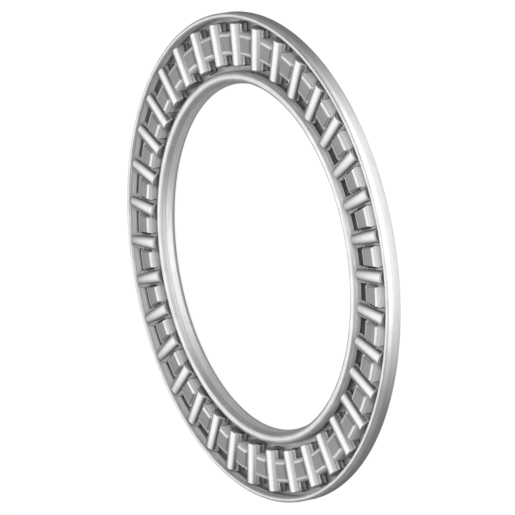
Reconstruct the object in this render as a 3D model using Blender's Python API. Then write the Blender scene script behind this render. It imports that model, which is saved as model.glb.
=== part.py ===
"""Thrust roller bearing: an axial cage and roller assembly, modelled lying flat.

One steel strip is pressed into a ring of W-shaped section with a row of windows, and a
cylindrical roller lies along the radius in each window. The windows are narrower than the
rollers above and below the roller's centre line, so the pressed strip holds every roller.

Metres, +Z up along the bearing's axis. The origin is on the axis, on the surface that the
rollers stand on.
"""

import math

import bmesh
import bpy
from mathutils import Matrix, Vector

MM = 0.001

# Bearing size
BORE_D = 55.2 * MM            # narrowest part of the cage's bore, loose on a 55 mm shaft
ROLLER_COUNT = 36

# Rollers
ROLLER_D = 3.0 * MM
ROLLER_LENGTH = 6.9 * MM
ROLLER_CHAMFER = 0.28 * MM
ROLLER_SIDES = 16

# Pressed strip
STRIP = 0.4 * MM              # thickness
CAGE_HEIGHT = 2.6 * MM
HEM_GAP = 0.05 * MM           # between the two layers of the folded outer edge
HEM_DEPTH = 1.45 * MM         # how far the folded layer reaches down from the top
INNER_CHANNEL = 4.59 * MM     # from the bore to the roof's inner side
ROOF_FLAT = 2.35 * MM         # flat part of the roof, along the radius
ROOF_DROP = 0.22 * MM         # the roof of the bars lies this far below the rims
OUTER_CHANNEL = 2.62 * MM     # from the roof's outer side to the outer wall's inside
SHOULDER = 0.72 * MM          # outside radius of the roof's two shoulders
FOOT = 0.62 * MM              # outside radius of the bends down at the floor
CORNER = 0.50 * MM            # outside radius of the bottom corners
CURL = 0.84 * MM              # outside radius of the rolled inner edge
CURL_DEPTH = 1.35 * MM        # how far the rolled edge reaches down from the top
BORE_LAND = 0.60 * MM         # height of the bore's upright part above the floor's underside
BORE_LEAN = math.radians(18.4)  # lean of the bore's wall between that part and the curl

# Windows
WINDOW_CLEARANCE = 0.06 * MM  # from the roller's side to the window's edge
WINDOW_END = 0.10 * MM        # from the roller's end to the window's end
RETAINER = 0.04 * MM          # each window edge reaches this far in over the roller's flank
RIM_LEDGE = 0.55 * MM         # floor left between the windows and the folded edge
ROOF_CLEARANCE = 0.18 * MM    # from the roller's side to the window's edge on top of the roof

# Facets
RING_STEPS = 2 * ROLLER_COUNT
WIDE_STEPS = 2                # facets round the outside of a bend that shows
BELLY_STEPS = 2               # facets of the window's edge beside the roller

# Worked out from the sizes above
MID_Z = ROLLER_D / 2
TOP_Z = MID_Z + CAGE_HEIGHT / 2
FLOOR_Z = MID_Z - CAGE_HEIGHT / 2
HALF = STRIP / 2
BORE_R = BORE_D / 2
ROOF_INNER_R = BORE_R + INNER_CHANNEL
ROOF_OUTER_R = ROOF_INNER_R + ROOF_FLAT + 2 * SHOULDER
OUTER_R = ROOF_OUTER_R + OUTER_CHANNEL + STRIP     # 39 mm: the bearing is 78 mm across
HEM_R = OUTER_R - STRIP - HEM_GAP - STRIP          # inner face of the folded layer
WINDOW_OUTER_R = HEM_R - RIM_LEDGE
ROLLER_OUTER_R = WINDOW_OUTER_R - WINDOW_END
ROLLER_INNER_R = ROLLER_OUTER_R - ROLLER_LENGTH
WINDOW_INNER_R = ROLLER_INNER_R - WINDOW_END
WINDOW_HALF = ROLLER_D / 2 - RETAINER
WINDOW_ROUND = ROLLER_D / 2 + WINDOW_CLEARANCE
ROOF_HALF = ROLLER_D / 2 + ROOF_CLEARANCE
PITCH = 2 * math.pi / ROLLER_COUNT


def clear_scene():
    for old in list(bpy.data.objects):
        bpy.data.objects.remove(old, do_unlink=True)


def material(name, colour, roughness):
    made = bpy.data.materials.new(name)
    made.use_nodes = True
    shader = made.node_tree.nodes["Principled BSDF"]
    shader.inputs["Base Color"].default_value = (*colour, 1.0)
    shader.inputs["Metallic"].default_value = 1.0
    shader.inputs["Roughness"].default_value = roughness
    return made


def add_object(name, bm, finish):
    """Makes a smooth-shaded object with sharp creases from a bmesh."""
    bmesh.ops.recalc_face_normals(bm, faces=bm.faces[:])
    mesh = bpy.data.meshes.new(name)
    bm.to_mesh(mesh)
    bm.free()
    if finish:
        mesh.materials.append(finish)
    mesh.shade_smooth()
    mesh.set_sharp_from_angle(angle=math.radians(35))
    made = bpy.data.objects.new(name, mesh)
    bpy.context.scene.collection.objects.link(made)
    return made


def strip_path():
    """The middle line of the pressed strip from its outer edge to its inner edge.

    Each entry is a corner (radius, height) and the bend's radius on the middle line.
    """
    floor = FLOOR_Z + HALF
    rim = TOP_Z - HALF
    roof = TOP_Z - ROOF_DROP - HALF
    hem = HEM_R + HALF
    wall = OUTER_R - HALF
    roof_out = ROOF_OUTER_R - HALF
    roof_in = ROOF_INNER_R + HALF
    land = BORE_R + HALF
    land_top = FLOOR_Z + BORE_LAND
    curl = CURL - HALF
    curl_in = land + (rim - land_top) * math.tan(BORE_LEAN)
    curl_out = curl_in + curl * (math.tan((math.pi / 2 - BORE_LEAN) / 2) + 1)
    return [
        (hem, TOP_Z - HEM_DEPTH, 0.0),
        (hem, rim, (wall - hem) / 2),
        (wall, rim, (wall - hem) / 2),
        (wall, floor, CORNER - HALF),
        (roof_out, floor, FOOT - HALF),
        (roof_out, roof, SHOULDER - HALF),
        (roof_in, roof, SHOULDER - HALF),
        (roof_in, floor, FOOT - HALF),
        (land, floor, CORNER - HALF),
        (land, land_top, 0.0),
        (curl_in, rim, curl),
        (curl_out, rim, curl),
        (curl_out, TOP_Z - CURL_DEPTH, 0.0),
    ]


def bend(before, corner, after, radius, side):
    """Points of one bent face of the strip: side is +half or -half its thickness."""
    to_corner = (corner - before).normalized()
    from_corner = (after - corner).normalized()
    turn = to_corner.angle_signed(from_corner)        # clockwise turns are positive
    face_radius = radius + side if turn > 0 else radius - side
    if radius == 0 or face_radius < STRIP / 8:
        mitre = Vector((-to_corner.y - from_corner.y, to_corner.x + from_corner.x))
        return [corner + mitre * side / (1 + math.cos(turn))]
    reach = radius * math.tan(abs(turn) / 2)
    start = corner - to_corner * reach
    left = Vector((-to_corner.y, to_corner.x))
    inward = left if turn < 0 else -left
    centre = start + inward * radius
    spoke = start - centre
    steps = WIDE_STEPS if face_radius > 1.5 * STRIP and corner.y > MID_Z else 1
    points = []
    for step in range(steps + 1):
        angle = -turn * step / steps
        turned = spoke.copy()
        turned.rotate(Matrix.Rotation(angle, 2))
        heading = to_corner.copy()
        heading.rotate(Matrix.Rotation(angle, 2))
        points.append(centre + turned + Vector((-heading.y, heading.x)) * side)
    return points


def strip_face(side):
    """One face of the strip along the whole section, offset from the middle line."""
    path = strip_path()
    spots = [Vector((radius, height)) for radius, height, _ in path]
    last = len(path) - 1
    first_way = (spots[1] - spots[0]).normalized()
    last_way = (spots[last] - spots[last - 1]).normalized()
    face = [spots[0] + Vector((-first_way.y, first_way.x)) * side]
    for index in range(1, last):
        radius = path[index][2]
        corner = bend(spots[index - 1], spots[index], spots[index + 1], radius, side)
        if (corner[0] - face[-1]).length < STRIP / 100:
            corner = corner[1:]
        face.extend(corner)
    face.append(spots[last] + Vector((-last_way.y, last_way.x)) * side)
    return face


def cage_section():
    """The closed outline of the pressed strip's section."""
    return strip_face(HALF) + list(reversed(strip_face(-HALF)))


def make_window_cutter():
    """One body for each window: a slot that bellies round the roller.

    Above the roller's side the slot narrows to a lip, and from there it widens up to the roof.
    """
    meet = math.sqrt(WINDOW_ROUND ** 2 - WINDOW_HALF ** 2)
    lean = (ROOF_HALF - WINDOW_HALF) / (TOP_Z - ROOF_DROP - MID_Z - meet)
    reach = CAGE_HEIGHT / 2 + STRIP
    swing = math.asin(meet / WINDOW_ROUND)
    clear = WINDOW_ROUND / math.cos(swing / BELLY_STEPS)
    belly = [swing * (2 * step / BELLY_STEPS - 1) for step in range(1, BELLY_STEPS)]
    right = [(WINDOW_HALF, -meet)]
    right += [(clear * math.cos(angle), clear * math.sin(angle)) for angle in belly]
    right += [(WINDOW_HALF, meet)]
    top = WINDOW_HALF + lean * (reach - meet)
    side = [(WINDOW_HALF, -reach)] + right + [(top, reach)]
    outline = side + [(-x, z) for x, z in reversed(side)]
    bm = bmesh.new()
    for index in range(ROLLER_COUNT):
        turn = Matrix.Rotation(index * PITCH, 3, "Z")
        ring = [bm.verts.new(turn @ Vector((WINDOW_INNER_R, x, MID_Z + z))) for x, z in outline]
        face = bm.faces.new(ring)
        grown = bmesh.ops.extrude_face_region(bm, geom=[face])
        moved = [part for part in grown["geom"] if isinstance(part, bmesh.types.BMVert)]
        outward = turn @ Vector((WINDOW_OUTER_R - WINDOW_INNER_R, 0.0, 0.0))
        bmesh.ops.translate(bm, verts=moved, vec=outward)
    cutter = add_object("window_cutter", bm, None)
    cutter.hide_render = True
    cutter.display_type = "WIRE"
    return cutter


def make_cage(finish):
    """The section turned round the axis, with the windows cut through it."""
    bm = bmesh.new()
    ring = [bm.verts.new((point.x, 0.0, point.y)) for point in cage_section()]
    edges = [bm.edges.new((ring[i - 1], ring[i])) for i in range(len(ring))]
    bmesh.ops.spin(
        bm,
        geom=ring + edges,
        cent=(0.0, 0.0, 0.0),
        axis=(0.0, 0.0, 1.0),
        angle=2 * math.pi,
        steps=RING_STEPS,
        use_merge=True,
    )
    cage = add_object("cage", bm, finish)
    windows = cage.modifiers.new("windows", "BOOLEAN")
    windows.operation = "DIFFERENCE"
    windows.solver = "EXACT"
    windows.object = make_window_cutter()
    return cage


def roller_mesh(finish):
    """A chamfered cylinder along +X, its middle at the origin."""
    bm = bmesh.new()
    bmesh.ops.create_cone(
        bm,
        cap_ends=True,
        segments=ROLLER_SIDES,
        radius1=ROLLER_D / 2,
        radius2=ROLLER_D / 2,
        depth=ROLLER_LENGTH,
        matrix=Matrix.Rotation(math.pi / 2, 4, "Y"),
    )
    ends = [face for face in bm.faces if len(face.verts) == ROLLER_SIDES]
    rims = {edge for face in ends for edge in face.edges}
    bmesh.ops.bevel(
        bm,
        geom=list(rims),
        offset=ROLLER_CHAMFER,
        offset_type="OFFSET",
        segments=1,
        profile=0.5,
        affect="EDGES",
        material=-1,
    )
    bmesh.ops.recalc_face_normals(bm, faces=bm.faces[:])
    mesh = bpy.data.meshes.new("roller")
    bm.to_mesh(mesh)
    bm.free()
    mesh.materials.append(finish)
    mesh.shade_smooth()
    mesh.set_sharp_from_angle(angle=math.radians(35))
    return mesh


def make_rollers(finish):
    """One roller in each window, its own origin on its axis."""
    mesh = roller_mesh(finish)
    middle = (ROLLER_INNER_R + ROLLER_OUTER_R) / 2
    for index in range(ROLLER_COUNT):
        angle = index * PITCH
        roller = bpy.data.objects.new(f"roller_{index + 1:02d}", mesh)
        roller.location = (middle * math.cos(angle), middle * math.sin(angle), MID_Z)
        roller.rotation_euler = (0.0, 0.0, angle)
        bpy.context.scene.collection.objects.link(roller)


clear_scene()
make_cage(material("cage_steel", (0.56, 0.57, 0.58), 0.34))
make_rollers(material("roller_steel", (0.75, 0.76, 0.77), 0.16))
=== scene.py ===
"""Thrust roller bearing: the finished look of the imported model, in its own frame.

Metres, +Z along the bearing's axis. The bearing lies flat on a pale floor, face up.
"""

import math

import bmesh
import bpy
from mathutils import Matrix, Vector


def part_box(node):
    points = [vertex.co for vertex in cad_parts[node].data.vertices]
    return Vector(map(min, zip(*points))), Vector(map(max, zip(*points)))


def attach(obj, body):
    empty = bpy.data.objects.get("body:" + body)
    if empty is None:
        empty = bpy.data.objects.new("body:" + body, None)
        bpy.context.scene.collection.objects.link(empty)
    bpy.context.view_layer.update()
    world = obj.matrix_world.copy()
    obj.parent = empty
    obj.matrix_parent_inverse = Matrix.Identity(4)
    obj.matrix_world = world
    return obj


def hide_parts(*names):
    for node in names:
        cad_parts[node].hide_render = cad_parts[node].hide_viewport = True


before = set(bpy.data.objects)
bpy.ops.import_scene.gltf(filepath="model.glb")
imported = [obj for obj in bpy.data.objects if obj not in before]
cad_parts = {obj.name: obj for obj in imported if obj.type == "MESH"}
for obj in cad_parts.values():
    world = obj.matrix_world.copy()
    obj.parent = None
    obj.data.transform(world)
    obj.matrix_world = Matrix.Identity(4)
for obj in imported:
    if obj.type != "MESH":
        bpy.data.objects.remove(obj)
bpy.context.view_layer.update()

# Cage
# One steel strip, 0.4 mm thick, pressed to a ring of W-shaped section. Its outer edge is folded
# back on itself, its inner edge is rolled over, and the windows are punched through both
# channels and the raised roof between them.
MM = 0.001
cage_low, cage_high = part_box("cage")
roller_low, roller_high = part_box("roller_01")
ROLLERS = sum(name.startswith("roller_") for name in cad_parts)
PITCH = 2 * math.pi / ROLLERS
ROLLER_R = (roller_high.z - roller_low.z) / 2
MID_Z = (roller_high.z + roller_low.z) / 2
TOP_Z = cage_high.z
FLOOR_Z = cage_low.z
OUTER_R = cage_high.x

STRIP = 0.4 * MM
BORE_R = 27.6 * MM            # at the bore's narrow edge, on the back
HEM_GAP = 0.05 * MM           # between the two layers of the folded outer edge
HEM_DEPTH = 1.45 * MM         # how far down the fold comes
ROOF_DROP = 0.22 * MM         # from the rims down to the roof
ROOF_FLAT = 2.35 * MM         # width of the flat on each bar
SHOULDER = 0.72 * MM          # outside radius of the roof's bends
FOOT = 0.62 * MM              # outside radius of the bends at the foot of its walls
CORNER = 0.50 * MM            # outside radius of the ring's edges on the back
OUTER_CHANNEL = 2.62 * MM     # from the outer wall to the roof's wall
CURL = 0.84 * MM              # outside radius of the rolled inner edge
CURL_DEPTH = 1.35 * MM        # how far down the rolled edge comes
BORE_LAND = 0.60 * MM         # height of the bore's straight part
BORE_LEAN = math.radians(18.4)
WINDOW_END = 0.10 * MM        # gap at each end of a roller
WINDOW_CLEARANCE = 0.06 * MM  # gap beside it at mid height
RETAINER = 0.04 * MM          # how far the window's lips reach over the roller's side
ROOF_CLEARANCE = 0.18 * MM    # gap beside the roller at the roof
WINDOW_CORNER = 0.22 * MM     # radius of the punched window's corners
WINDOW_CORNER_STEPS = 4
BELLY_STEPS = 48
SECTOR_STEPS = 10             # facets of the ring between two bars
BEND_STEPS = 8                # facets of each bend
ON_LINE = STRIP / 100         # a point this near to a bend's line is on it
SECTOR_MERGE = STRIP / 200    # points this near to each other are joined, in a sector
RING_MERGE = STRIP / 100      # and in the ring
END_FACES = math.radians(0.05)  # what lies this near to a sector's two ends is an end face
CAGE_SHARP = 32               # degrees between two faces, from which their edge is sharp


def strip_corners():
    """Corners of the strip's middle line as radius, height and the bend's radius there."""
    half = STRIP / 2
    floor = FLOOR_Z + half
    rim = TOP_Z - half
    roof = TOP_Z - ROOF_DROP - half
    wall = OUTER_R - half
    hem = wall - STRIP - HEM_GAP
    roof_out = OUTER_R - STRIP - OUTER_CHANNEL - half
    roof_in = roof_out - ROOF_FLAT - 2 * SHOULDER + STRIP
    land = BORE_R + half
    land_top = FLOOR_Z + BORE_LAND
    curl = CURL - half
    curl_in = land + (rim - land_top) * math.tan(BORE_LEAN)
    curl_out = curl_in + curl * (math.tan((math.pi / 2 - BORE_LEAN) / 2) + 1)
    return [
        (hem, TOP_Z - HEM_DEPTH, 0.0),
        (hem, rim, (wall - hem) / 2),
        (wall, rim, (wall - hem) / 2),
        (wall, floor, CORNER - half),
        (roof_out, floor, FOOT - half),
        (roof_out, roof, SHOULDER - half),
        (roof_in, roof, SHOULDER - half),
        (roof_in, floor, FOOT - half),
        (land, floor, CORNER - half),
        (land, land_top, STRIP),
        (curl_in, rim, curl),
        (curl_out, rim, curl),
        (curl_out, TOP_Z - CURL_DEPTH, 0.0),
    ]


def add_mesh(name, bm):
    mesh = bpy.data.meshes.new(name)
    bm.to_mesh(mesh)
    bm.free()
    made = bpy.data.objects.new(name, mesh)
    bpy.context.scene.collection.objects.link(made)
    return made


def shade(piece, sharp_degrees):
    piece.data.shade_smooth()
    piece.data.set_sharp_from_angle(angle=math.radians(sharp_degrees))


def apply_modifiers(piece):
    """Keeps what the modifiers make, and takes them off."""
    graph = bpy.context.evaluated_depsgraph_get()
    mesh = bpy.data.meshes.new_from_object(piece.evaluated_get(graph))
    piece.modifiers.clear()
    piece.data = mesh


def strip_sector():
    """The bent strip over one pitch, from the middle of one bar to the middle of the next."""
    corners = strip_corners()
    bm = bmesh.new()
    start = Matrix.Rotation(-PITCH / 2, 3, "Z")
    line = [bm.verts.new(start @ Vector((radius, 0.0, height))) for radius, height, _ in corners]
    edges = [bm.edges.new(pair) for pair in zip(line, line[1:])]
    bmesh.ops.spin(
        bm,
        geom=line + edges,
        cent=(0.0, 0.0, 0.0),
        axis=(0.0, 0.0, 1.0),
        angle=PITCH,
        steps=SECTOR_STEPS,
    )
    for before, (radius, height, bend), after in zip(corners, corners[1:], corners[2:]):
        into = Vector((radius - before[0], height - before[1]))
        out = Vector((after[0] - radius, after[1] - height))
        ring = [
            edge
            for edge in bm.edges
            if all(
                abs(math.hypot(v.co.x, v.co.y) - radius) < ON_LINE
                and abs(v.co.z - height) < ON_LINE
                for v in edge.verts
            )
        ]
        bmesh.ops.bevel(
            bm,
            geom=ring,
            offset=bend * math.tan(into.angle(out) / 2),
            offset_type="OFFSET",
            segments=BEND_STEPS,
            profile=0.5,
            affect="EDGES",
            clamp_overlap=False,
            material=-1,
        )
    bmesh.ops.remove_doubles(bm, verts=bm.verts[:], dist=SECTOR_MERGE)
    bmesh.ops.recalc_face_normals(bm, faces=bm.faces[:])
    sector = add_mesh("pressed_cage", bm)
    wall = sector.modifiers.new("strip", "SOLIDIFY")
    wall.thickness = STRIP
    wall.offset = 0.0
    wall.use_even_offset = True
    return sector


def punch(name, bm, sector):
    """Cuts the sector with a body that stands on +X."""
    bmesh.ops.recalc_face_normals(bm, faces=bm.faces[:])
    tool = add_mesh(name, bm)
    tool.hide_render = True
    cut = sector.modifiers.new(name, "BOOLEAN")
    cut.operation = "DIFFERENCE"
    cut.solver = "MANIFOLD"
    cut.object = tool
    return tool


def window_slot(length, half_width, low, high):
    """A slot along +X with rounded corners, from one height to another."""
    bm = bmesh.new()
    size = Matrix.Diagonal((length, 2 * half_width, high - low, 1.0))
    middle = Matrix.Translation((0.0, 0.0, (low + high) / 2))
    bmesh.ops.create_cube(bm, size=1.0, matrix=middle @ size)
    upright = [e for e in bm.edges if abs(e.verts[0].co.z - e.verts[1].co.z) > STRIP]
    bmesh.ops.bevel(
        bm,
        geom=upright,
        offset=WINDOW_CORNER,
        offset_type="OFFSET",
        segments=WINDOW_CORNER_STEPS,
        profile=0.5,
        affect="EDGES",
        material=-1,
    )
    return bm


def window_tools(sector):
    """The straight slot, its wider top, and the round belly beside the roller at mid height."""
    low = roller_low.x - WINDOW_END
    high = roller_high.x + WINDOW_END
    middle = Matrix.Translation(((low + high) / 2, 0.0, MID_Z))
    reach = 2 * ROLLER_R
    narrow = ROLLER_R - RETAINER
    slot = window_slot(high - low, narrow, -reach, reach)
    bmesh.ops.transform(slot, matrix=middle, verts=slot.verts[:])
    # above the lip that holds the roller the sides lean out, and the lip is this far up
    lip = math.sqrt((ROLLER_R + WINDOW_CLEARANCE) ** 2 - narrow ** 2)
    lean = (ROOF_CLEARANCE + RETAINER) / (TOP_Z - ROOF_DROP - MID_Z - lip)
    top = window_slot(high - low, narrow - lean * lip, 0.0, reach)
    widen = (narrow + lean * (reach - lip)) / (narrow - lean * lip)
    upper = [vert for vert in top.verts if vert.co.z > reach / 2]
    bmesh.ops.scale(top, vec=(1.0, widen, 1.0), verts=upper)
    bmesh.ops.transform(top, matrix=middle, verts=top.verts[:])
    belly = bmesh.new()
    bmesh.ops.create_cone(
        belly,
        cap_ends=True,
        segments=BELLY_STEPS,
        radius1=ROLLER_R + WINDOW_CLEARANCE,
        radius2=ROLLER_R + WINDOW_CLEARANCE,
        depth=high - low,
        matrix=middle @ Matrix.Rotation(math.pi / 2, 4, "Y"),
    )
    tools = {"slot_tool": slot, "top_tool": top, "belly_tool": belly}
    return [punch(name, bm, sector) for name, bm in tools.items()]


def make_cage():
    """One punched sector, repeated round the axis and joined to a closed ring."""
    sector = strip_sector()
    tools = window_tools(sector)
    apply_modifiers(sector)
    for tool in tools:
        bpy.data.objects.remove(tool)
    bm = bmesh.new()
    bm.from_mesh(sector.data)
    side = PITCH / 2 - END_FACES
    ends = [
        face
        for face in bm.faces
        if all(abs(math.atan2(v.co.y, v.co.x)) > side for v in face.verts)
    ]
    bmesh.ops.delete(bm, geom=ends, context="FACES")
    bmesh.ops.spin(
        bm,
        geom=bm.verts[:] + bm.edges[:] + bm.faces[:],
        cent=(0.0, 0.0, 0.0),
        axis=(0.0, 0.0, 1.0),
        angle=2 * math.pi - PITCH,
        steps=ROLLERS - 1,
        use_duplicate=True,
    )
    bmesh.ops.remove_doubles(bm, verts=bm.verts[:], dist=RING_MERGE)
    bmesh.ops.recalc_face_normals(bm, faces=bm.faces[:])
    bm.to_mesh(sector.data)
    bm.free()
    shade(sector, CAGE_SHARP)
    return sector


class Wire:
    """One output of a shader node. Arithmetic on it adds Math nodes to the same material."""

    def __init__(self, tree, socket=None):
        self.tree = tree
        self.socket = socket

    def node(self, kind, inputs=None, settings=None, output=0):
        """Adds a node: settings come first, then values or links for its sockets."""
        made = self.tree.nodes.new(kind)
        for name, value in (settings or {}).items():
            setattr(made, name, value)
        for name, value in (inputs or {}).items():
            if isinstance(value, Wire):
                self.tree.links.new(value.socket, made.inputs[name])
            else:
                made.inputs[name].default_value = value
        return Wire(self.tree, made.outputs[output])

    def math(self, operation, first, second=0.0):
        return self.node("ShaderNodeMath", {0: first, 1: second}, {"operation": operation})

    def __add__(self, other):
        return self.math("ADD", self, other)

    __radd__ = __add__

    def __sub__(self, other):
        return self.math("SUBTRACT", self, other)

    def __rsub__(self, other):
        return self.math("SUBTRACT", other, self)

    def __mul__(self, other):
        return self.math("MULTIPLY", self, other)

    __rmul__ = __mul__

    def between(self, low, high):
        """0 below low, 1 above high, and smooth in between."""
        inputs = {"Value": self, "From Min": low, "From Max": high}
        return self.node("ShaderNodeMapRange", inputs, {"interpolation_type": "SMOOTHSTEP"})

    def noise(self, scale, detail=2.0, roughness=0.5):
        """Noise from 0 to 1 over this vector."""
        inputs = {"Vector": self, "Scale": scale, "Detail": detail, "Roughness": roughness}
        return self.node("ShaderNodeTexNoise", inputs)

    def mix(self, low, high):
        """Goes from one colour to another as this goes from 0 to 1."""
        inputs = {0: self, 6: low, 7: high}
        return self.node("ShaderNodeMix", inputs, {"data_type": "RGBA"}, output=2)


def steel(name):
    """A new material, its start for expressions and its shader."""
    made = bpy.data.materials.new(name)
    made.use_nodes = True
    return made, Wire(made.node_tree), made.node_tree.nodes["Principled BSDF"]


def connect(shader, **wires):
    for name, wire in wires.items():
        wire.tree.links.new(wire.socket, shader.inputs[name.replace("_", " ")])


STRIP_STEEL = (0.42, 0.424, 0.428, 1.0)
# painted highlight, partly burnish from the die, on the upper strip and the bore's wall
STRIP_HIGHLIGHT_AND_BURNISH = (0.70, 0.704, 0.708, 1.0)
# painted shade on the roof's flats, which are also rougher
STRIP_DULL_AND_SHADED = (0.26, 0.262, 0.264, 1.0)
# painted light on the matt walls of the channels
STRIP_MATT_AND_LIT = (0.52, 0.522, 0.524, 1.0)
# dark grey of old oil and painted shade low down, and of the drawing lines
STRIP_OIL_SHADE_AND_LINES = (0.24, 0.24, 0.24, 1.0)
STRIP_METALLIC = 0.82
MATT_METALLIC = 0.35
STRIP_ROUGH = 0.42
CLOUDS_ROUGHER = 0.20
LINES_ROUGHER = 0.24
RUBBED_SMOOTHER = 0.08
DULL_ROUGHER = 0.06
DRAWN_LINES = 5.0             # scale of the lines from cold rolling, for each millimetre
DRAWN_DRIFT = 0.12            # scale of the slow wander in them
DRAWN_WANDER = 6.0            # and its size
DRAWN_FROM = 0.45             # lines stronger than this are dark
DRAWN_FULL = 0.75
DRAWN_DARK = 0.3              # how dark the darkest of them are
CLOUD_SCALE = 0.35
GRAIN_SCALE = 14.0
LINES_IN_RELIEF = 0.6         # share of the lines in the relief, and the rest is grain
STRIP_RELIEF = 0.25
STRIP_RELIEF_HEIGHT = 0.02 * MM
FLAT_FADE = 0.15              # millimetres, like the heights below, which are from the cage's back
HIGHLIGHT_FROM = 1.2             # a painted highlight, partly burnish from the die, lightens the strip from this height
HIGHLIGHT_FULL = 2.2
HIGHLIGHT_LEAST = 0.65           # how light the painted highlight is where it is least
PATCHES_FROM = 0.3            # clouds stronger than this are patches where the painted highlight is stronger
PATCHES_FULL = 0.7
MATT_FROM = 0.6               # the walls of the channels are matt and painted lighter, as painted light, between these heights
MATT_UP_TO = 1.8
MATT_FADE = 0.5
HEM_FADE = 0.1
BORE_LIGHT_DEPTH = 0.5          # the bore's wall is painted lighter, a painted highlight, this far out from its edge
BORE_LIGHT_UP_TO = 1.4          # and up to this height
BORE_MATT_SHARE = 0.15        # and it is a little matt there, with some of the matt walls' painted light
OIL_AND_SHADE_UP_TO = 0.9               # old oil and painted shade darken the strip up to this height
OIL_AND_SHADE_LEAST = 0.35
OIL_AND_SHADE_CLOUDS = 0.4              # how much darker it gets in patches


def pressed_strip():
    """Cold rolled strip: drawing lines round the ring, painted shade on the dull flats and low
    down with the oil, a painted highlight on the upper strip, painted light on the matt walls.
    """
    made, start, shader = steel("pressed_strip")
    place = start.node("ShaderNodeTexCoord", output=3)
    place = start.node("ShaderNodeVectorMath", {0: place, 3: 1 / MM}, {"operation": "SCALE"})
    x = start.node("ShaderNodeSeparateXYZ", {0: place}, output=0)
    y = start.node("ShaderNodeSeparateXYZ", {0: place}, output=1)
    z = start.node("ShaderNodeSeparateXYZ", {0: place}, output=2)
    radius = start.math("SQRT", x * x + y * y)
    drift = place.noise(DRAWN_DRIFT)
    across = {0: radius * DRAWN_LINES, 1: z * DRAWN_LINES, 2: drift * DRAWN_WANDER}
    lines = start.node("ShaderNodeCombineXYZ", across).noise(1.0, detail=3.0)
    cloud = place.noise(CLOUD_SCALE, detail=4.0, roughness=0.6)
    grain = place.noise(GRAIN_SCALE)
    floor = FLOOR_Z / MM
    roof = (TOP_Z - ROOF_DROP) / MM
    flat_in = (strip_corners()[6][0] - STRIP / 2 + SHOULDER) / MM
    flat_out = flat_in + ROOF_FLAT / MM
    # painted shade: the roof's flats get a darker colour, and a rougher finish too
    inner_edge = radius.between(flat_in - FLAT_FADE, flat_in + FLAT_FADE)
    outer_edge = radius.between(flat_out - FLAT_FADE, flat_out + FLAT_FADE)
    dull_and_shaded = inner_edge * (1 - outer_edge) * z.between(roof - 2 * STRIP / MM, roof - STRIP / MM)
    # painted highlight, partly burnish from the die: the strip is lighter from a height up, in
    # patches
    patches = cloud.between(PATCHES_FROM, PATCHES_FULL)
    patches = HIGHLIGHT_LEAST + (1 - HIGHLIGHT_LEAST) * patches
    highlight_and_burnish = z.between(floor + HIGHLIGHT_FROM, floor + HIGHLIGHT_FULL) * patches * (1 - dull_and_shaded)
    # painted shade, with old oil: the strip is darker low down near its back, in patches
    oil_and_shade = (1 - z.between(floor, floor + OIL_AND_SHADE_UP_TO)) * (OIL_AND_SHADE_LEAST + OIL_AND_SHADE_CLOUDS * cloud)
    channels = strip_corners()[12][0] / MM
    hem = strip_corners()[0][0] / MM
    # painted light: the walls in the channels get a lighter colour, and are matt too
    matt_and_lit = radius.between(channels, channels + STRIP / MM)
    matt_and_lit = matt_and_lit * (1 - radius.between(hem - HEM_FADE, hem))
    matt_and_lit = matt_and_lit * z.between(floor + MATT_FROM - MATT_FADE, floor + MATT_FROM + MATT_FADE)
    matt_and_lit = matt_and_lit * (1 - z.between(floor + MATT_UP_TO, floor + MATT_UP_TO + MATT_FADE))
    # painted highlight on the bore's wall, which is also made a little matt with painted light
    depth = BORE_R / MM + BORE_LIGHT_DEPTH
    bore = 1 - radius.between(depth, depth + STRIP / MM)
    bore = bore * (1 - z.between(floor + BORE_LIGHT_UP_TO, floor + BORE_LIGHT_UP_TO + MATT_FADE))
    highlight_and_burnish = start.math("MAXIMUM", highlight_and_burnish, bore)
    matt_and_lit = start.math("MAXIMUM", matt_and_lit, bore * BORE_MATT_SHARE)
    colour = highlight_and_burnish.mix(STRIP_STEEL, STRIP_HIGHLIGHT_AND_BURNISH)
    colour = dull_and_shaded.mix(colour, STRIP_DULL_AND_SHADED)
    colour = matt_and_lit.mix(colour, STRIP_MATT_AND_LIT)
    colour = oil_and_shade.mix(colour, STRIP_OIL_SHADE_AND_LINES)
    dark_lines = lines.between(DRAWN_FROM, DRAWN_FULL) * DRAWN_DARK
    colour = dark_lines.mix(colour, STRIP_OIL_SHADE_AND_LINES)
    metallic = STRIP_METALLIC - matt_and_lit * (STRIP_METALLIC - MATT_METALLIC)
    rough = STRIP_ROUGH + (cloud - 0.5) * CLOUDS_ROUGHER + (lines - 0.5) * LINES_ROUGHER
    rough = rough - highlight_and_burnish * RUBBED_SMOOTHER + dull_and_shaded * DULL_ROUGHER
    relief = lines * LINES_IN_RELIEF + grain * (1 - LINES_IN_RELIEF)
    bump = {"Height": relief, "Strength": STRIP_RELIEF, "Distance": STRIP_RELIEF_HEIGHT}
    connect(shader, Base_Color=colour, Roughness=rough, Metallic=metallic)
    connect(shader, Normal=start.node("ShaderNodeBump", bump))
    return made


cage = make_cage()
cage.data.materials.clear()
cage.data.materials.append(pressed_strip())
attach(cage, "cage")
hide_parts("cage")

# Rollers
# Cylinders of hardened bearing steel, ground to size and loose in the windows. Their ends are
# flat with a tumbled chamfer, and the grinding leaves faint lines round each one.
CHAMFER = 0.28 * MM
ROUND_STEPS = 56
CHAMFER_STEPS = 4
ROLLER_SHARP = 40             # degrees


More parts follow.
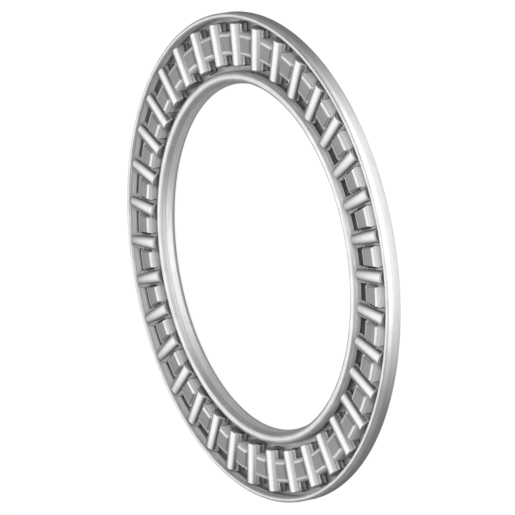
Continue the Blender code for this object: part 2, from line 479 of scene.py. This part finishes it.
def make_roller(name, turn):
    """A cylinder with rounded chamfers, in its place in the ring."""
    length = roller_high.x - roller_low.x
    middle = (roller_high.x + roller_low.x) / 2
    bm = bmesh.new()
    bmesh.ops.create_cone(
        bm,
        cap_ends=True,
        segments=ROUND_STEPS,
        radius1=ROLLER_R,
        radius2=ROLLER_R,
        depth=length,
        matrix=Matrix.Rotation(math.pi / 2, 4, "Y"),
    )
    ends = [face for face in bm.faces if len(face.verts) == ROUND_STEPS]
    bmesh.ops.bevel(
        bm,
        geom=list({edge for face in ends for edge in face.edges}),
        offset=CHAMFER,
        offset_type="OFFSET",
        segments=CHAMFER_STEPS,
        profile=0.5,
        affect="EDGES",
        material=-1,
    )
    bmesh.ops.recalc_face_normals(bm, faces=bm.faces[:])
    # millimetres along the axis and out from it, for the marks of the grinding wheel
    along = bm.loops.layers.uv.new("profile")
    for face in bm.faces:
        for loop in face.loops:
            spot = loop.vert.co
            loop[along].uv = (spot.x / MM, math.hypot(spot.y, spot.z) / MM)
    bmesh.ops.transform(
        bm,
        matrix=Matrix.Rotation(turn, 4, "Z") @ Matrix.Translation((middle, 0.0, MID_Z)),
        verts=bm.verts[:],
    )
    roller = add_mesh(name, bm)
    shade(roller, ROLLER_SHARP)
    return roller


ROLLER_STEEL = (0.70, 0.705, 0.71, 1.0)
ROLLER_DARK = (0.52, 0.525, 0.53, 1.0)
ROLLER_ROUGH = 0.41           # of the ends
SIDE_SMOOTHER = 0.16          # how much smoother the ground side is
GROUND_LINES = 9.0            # scale of the grinding lines, for each millimetre
GROUND_DRIFT = 0.5            # scale of the slow wander in them
GROUND_WANDER = 4.0           # and its size
GROUND_CLOUD = 0.8            # scale of the clouds
LINES_DARKER = 0.5
CLOUD_DARKER = 0.3
GROUND_LINES_ROUGHER = 0.10
GROUND_CLOUD_ROUGHER = 0.05
GROUND_RELIEF = 0.10
GROUND_RELIEF_HEIGHT = 0.01 * MM


def ground_steel():
    """Fine ground steel: lines round the roller, satin ends."""
    made, start, shader = steel("ground_steel")
    shader.inputs["Metallic"].default_value = 1.0
    place = start.node("ShaderNodeTexCoord", output=3)
    place = start.node("ShaderNodeVectorMath", {0: place, 3: 1 / MM}, {"operation": "SCALE"})
    profile = start.node("ShaderNodeUVMap", settings={"uv_map": "profile"})
    along = start.node("ShaderNodeSeparateXYZ", {0: profile}, output=0)
    out = start.node("ShaderNodeSeparateXYZ", {0: profile}, output=1)
    drift = place.noise(GROUND_DRIFT)
    across = {0: along * GROUND_LINES, 1: out * GROUND_LINES, 2: drift * GROUND_WANDER}
    lines = start.node("ShaderNodeCombineXYZ", across).noise(1.0, detail=3.0)
    side = out.between((ROLLER_R - CHAMFER) / MM, (ROLLER_R - CHAMFER / 3) / MM)
    cloud = place.noise(GROUND_CLOUD, detail=3.0)
    colour = (lines * LINES_DARKER + cloud * CLOUD_DARKER).mix(ROLLER_STEEL, ROLLER_DARK)
    rough = ROLLER_ROUGH - side * SIDE_SMOOTHER
    rough = rough + (lines - 0.5) * GROUND_LINES_ROUGHER + (cloud - 0.5) * GROUND_CLOUD_ROUGHER
    bump = {"Height": lines, "Strength": GROUND_RELIEF, "Distance": GROUND_RELIEF_HEIGHT}
    connect(shader, Base_Color=colour, Roughness=rough, Normal=start.node("ShaderNodeBump", bump))
    return made


roller_finish = ground_steel()
for index in range(ROLLERS):
    node = f"roller_{index + 1:02d}"
    roller = make_roller(f"ground_{node}", index * PITCH)
    roller.data.materials.append(roller_finish)
    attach(roller, node)
    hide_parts(node)

# Floor
# A wide pale sheet under the bearing, which the camera sees nearly white and which still takes
# the bearing's shadow. In reflections it has a bright patch in front of the bearing, which the
# outer wall mirrors, and is dim elsewhere.
FLOOR_HALF = 1.5
FLOOR_PAINT = (0.86, 0.86, 0.86, 1.0)
FLOOR_ROUGH = 0.9
FLOOR_SHINE = 0.1
FLOOR_WHITE = 0.88            # how much of the floor's brightness doesn't depend on the lamps
FLOOR_GLOW = 1.06
UNDER_FADE = 1.6 * MM         # under the ring all of it depends on them, from this far in
POOL_PLACE = (4.0 * MM, -44.0 * MM, 0.0)   # middle of the bright patch
POOL_REACH = 38.0 * MM
POOL_CORE = 0.3               # share of the reach in which it is full
POOL_GLOW = 2.2
POOL_EDGE = 0.08


def make_floor():
    bm = bmesh.new()
    bmesh.ops.create_grid(bm, x_segments=1, y_segments=1, size=FLOOR_HALF)
    floor = add_mesh("floor", bm)
    made = bpy.data.materials.new("pale_floor")
    made.use_nodes = True
    start = Wire(made.node_tree)
    shader = made.node_tree.nodes["Principled BSDF"]
    shader.inputs["Base Color"].default_value = FLOOR_PAINT
    shader.inputs["Roughness"].default_value = FLOOR_ROUGH
    shader.inputs["Specular IOR Level"].default_value = FLOOR_SHINE
    seen = start.node("ShaderNodeLightPath", output=0)
    mirrored = start.node("ShaderNodeLightPath", output=3)
    clear = start.node("ShaderNodeLightPath", output=6)
    place = start.node("ShaderNodeTexCoord", output=3)
    distance = {"operation": "DISTANCE"}
    away = start.node("ShaderNodeVectorMath", {0: place, 1: POOL_PLACE}, distance, output=1)
    bright = 1 - away.between(POOL_CORE * POOL_REACH, POOL_REACH)
    pool = POOL_EDGE + bright * (POOL_GLOW - POOL_EDGE)
    strength = mirrored * pool + (1 - mirrored) * FLOOR_GLOW
    glow = start.node("ShaderNodeEmission", {0: (1.0, 1.0, 1.0, 1.0), 1: strength})
    off_axis = start.node("ShaderNodeVectorMath", {0: place}, {"operation": "LENGTH"}, output=1)
    under = off_axis.between(BORE_R, BORE_R + UNDER_FADE)
    under = under * (1 - off_axis.between(OUTER_R - UNDER_FADE, OUTER_R))
    shown = start.math("MAXIMUM", start.math("MAXIMUM", seen, clear), mirrored) * FLOOR_WHITE
    shown = shown * (1 - under)
    lit = Wire(made.node_tree, shader.outputs[0])
    both = start.node("ShaderNodeMixShader", {0: shown, 1: lit, 2: glow})
    output = made.node_tree.nodes["Material Output"]
    made.node_tree.links.new(both.socket, output.inputs["Surface"])
    floor.data.materials.append(made)


make_floor()

# Camera
# The picture looks at the face from 59.5 degrees off the axis, through a long lens, and is
# turned so that the ring seems to stand on its edge.
PICTURE = 515                 # pixels a side
OFF_AXIS = math.radians(59.5)
ROUND_AXIS = math.radians(269.6)        # the camera's direction round the axis, from +X
AXIS_IN_PICTURE = math.radians(189.72)  # the way that +Z points in the picture, from right
DISTANCE = 788 * MM
LENS_PIXELS = 5000            # focal length in pixels
SENSOR = 36.0                 # millimetres
CLIP_NEAR = 0.01
CLIP_FAR = 20.0
AIM = Vector((0.0, 0.0, 2.97 * MM))
AIM_PIXEL = (250.64, 259.05)  # where that point of the axis lies in the picture


def make_camera():
    back = Vector((math.cos(ROUND_AXIS), math.sin(ROUND_AXIS), 0.0)) * math.sin(OFF_AXIS)
    back.z = math.cos(OFF_AXIS)
    axis = (Vector((0.0, 0.0, 1.0)) - back * back.z).normalized()
    side = axis.cross(back)
    right = axis * math.cos(AXIS_IN_PICTURE) + side * math.sin(AXIS_IN_PICTURE)
    up = back.cross(right)
    pixel = DISTANCE / LENS_PIXELS
    from_middle = (AIM_PIXEL[0] - PICTURE / 2, AIM_PIXEL[1] - PICTURE / 2)
    place = AIM + back * DISTANCE - right * from_middle[0] * pixel + up * from_middle[1] * pixel
    data = bpy.data.cameras.new("camera")
    data.sensor_width = SENSOR
    data.lens = LENS_PIXELS * SENSOR / PICTURE
    data.clip_start = CLIP_NEAR
    data.clip_end = CLIP_FAR
    camera = bpy.data.objects.new("camera", data)
    turn = Matrix((right, up, back)).transposed().to_4x4()
    camera.matrix_world = Matrix.Translation(place) @ turn
    bpy.context.scene.collection.objects.link(camera)
    bpy.context.scene.camera = camera


make_camera()

# Light
# A dim room with a broad soft light overhead, which draws the bright line along each roller, and
# a softer glow on the camera's side, into which that line fades. The bore's wall mirrors a low
# glow behind the camera, and a small soft lamp near it lights the matt walls.
ROOM = 0.08
OVERHEAD_WAY = (0.0, 0.5, 1.0)       # from the bearing to the middle of the light overhead
OVERHEAD_GLOW = 1.5
OVERHEAD_EDGE = 0.5                  # cosine of the angle from that way, where it starts
OVERHEAD_CORE = 1.0                  # and where it is full
NEAR_GLOW = 0.8                      # of the softer glow
NEAR_EDGE = 0.2                      # share of -Y in the direction, where it starts
NEAR_CORE = 0.5                      # and where it is full
NEAR_LOW = 0.3                       # share of +Z in the direction, where it starts
NEAR_HIGH = 0.75                     # and where it is full
FRONT_GLOW = 2.6                     # of the low glow
FRONT_EDGE = 0.3                     # share of -Y, where it starts
FRONT_CORE = 1.1                     # above 1, so that it isn't full even straight ahead
FRONT_FULL_UP_TO = 0.1               # share of +Z
FRONT_UP_TO = 0.4
KEY_WAY = (0.08, -0.86, 0.50)        # from the bearing to the lamp
KEY_DISTANCE = 0.28
KEY_SIDE = 0.10
KEY_POWER = 1.0


def area_lamp(name, direction, distance, side, power):
    """A soft square lamp in the given direction from the bearing, facing it."""
    data = bpy.data.lights.new(name, "AREA")
    data.size = side
    data.energy = power
    lamp = bpy.data.objects.new(name, data)
    away = Vector(direction).normalized()
    lamp.location = away * distance
    lamp.rotation_mode = "QUATERNION"
    lamp.rotation_quaternion = away.to_track_quat("Z", "Y")
    lamp.visible_glossy = False
    bpy.context.scene.collection.objects.link(lamp)


def make_surround():
    world = bpy.data.worlds.new("surround")
    bpy.context.scene.world = world
    world.use_nodes = True
    start = Wire(world.node_tree)
    way = start.node("ShaderNodeTexCoord", output=0)
    dot = {"operation": "DOT_PRODUCT"}
    overhead = tuple(Vector(OVERHEAD_WAY).normalized())
    above = start.node("ShaderNodeVectorMath", {0: way, 1: overhead}, dot, output=1)
    y = start.node("ShaderNodeSeparateXYZ", {0: way}, output=1)
    z = start.node("ShaderNodeSeparateXYZ", {0: way}, output=2)
    low = 1 - z.between(FRONT_FULL_UP_TO, FRONT_UP_TO)
    front = (0 - y).between(FRONT_EDGE, FRONT_CORE) * low
    top = above.between(OVERHEAD_EDGE, OVERHEAD_CORE)
    near = (0 - y).between(NEAR_EDGE, NEAR_CORE) * z.between(NEAR_LOW, NEAR_HIGH)
    room = ROOM + top * OVERHEAD_GLOW + front * FRONT_GLOW + near * NEAR_GLOW
    seen = start.node("ShaderNodeLightPath", output=0)
    clear = start.node("ShaderNodeLightPath", output=6)
    white = start.math("MAXIMUM", seen, clear)
    strength = room * (1 - white) + white
    background = world.node_tree.nodes["Background"]
    background.inputs["Color"].default_value = (1.0, 1.0, 1.0, 1.0)
    connect(background, Strength=strength)


area_lamp("key", KEY_WAY, KEY_DISTANCE, KEY_SIDE, KEY_POWER)
make_surround()

bpy.context.scene.view_settings.view_transform = "Standard"
